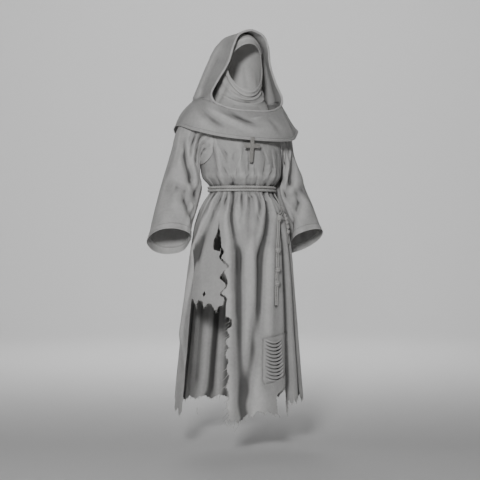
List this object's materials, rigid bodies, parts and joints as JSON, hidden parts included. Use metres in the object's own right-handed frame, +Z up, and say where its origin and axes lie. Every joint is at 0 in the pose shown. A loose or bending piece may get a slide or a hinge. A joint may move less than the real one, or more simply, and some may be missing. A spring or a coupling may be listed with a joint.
{
  "type": "hooded friar's habit with rope belt and neck cloth",
  "caption": "Long ragged hooded habit with shoulder cape, wide sleeves, neck cloth, knotted rope belt and plain cross, filled out as worn.",
  "frame": {"origin": "between the wearer's shoulders, where the habit is carried", "axes": "+Z up, -Y to the wearer's front, +X to the wearer's left"},
  "size_m": [0.79, 0.4812, 1.6226],
  "materials": {
    "habit_cloth": "coarse matt woollen cloth",
    "linen": "plain matt linen",
    "rope": "twisted cord",
    "wood": "worn satin wood"
  },
  "bodies": {
    "root": {"tunic_front": "habit_cloth", "tunic_back_left": "habit_cloth", "tunic_back_right": "habit_cloth", "sleeve_right": "habit_cloth", "sleeve_left": "habit_cloth", "cape_front": "habit_cloth", "cape_back": "habit_cloth", "hood_right": "habit_cloth", "hood_left": "habit_cloth", "hood_edge": "habit_cloth", "wimple": "linen", "coif_band": "linen", "belt_upper": "rope", "belt_lower": "rope", "cord_front": "rope", "cord_hip": "rope", "cross": "wood"}
  },
  "joints": []
}
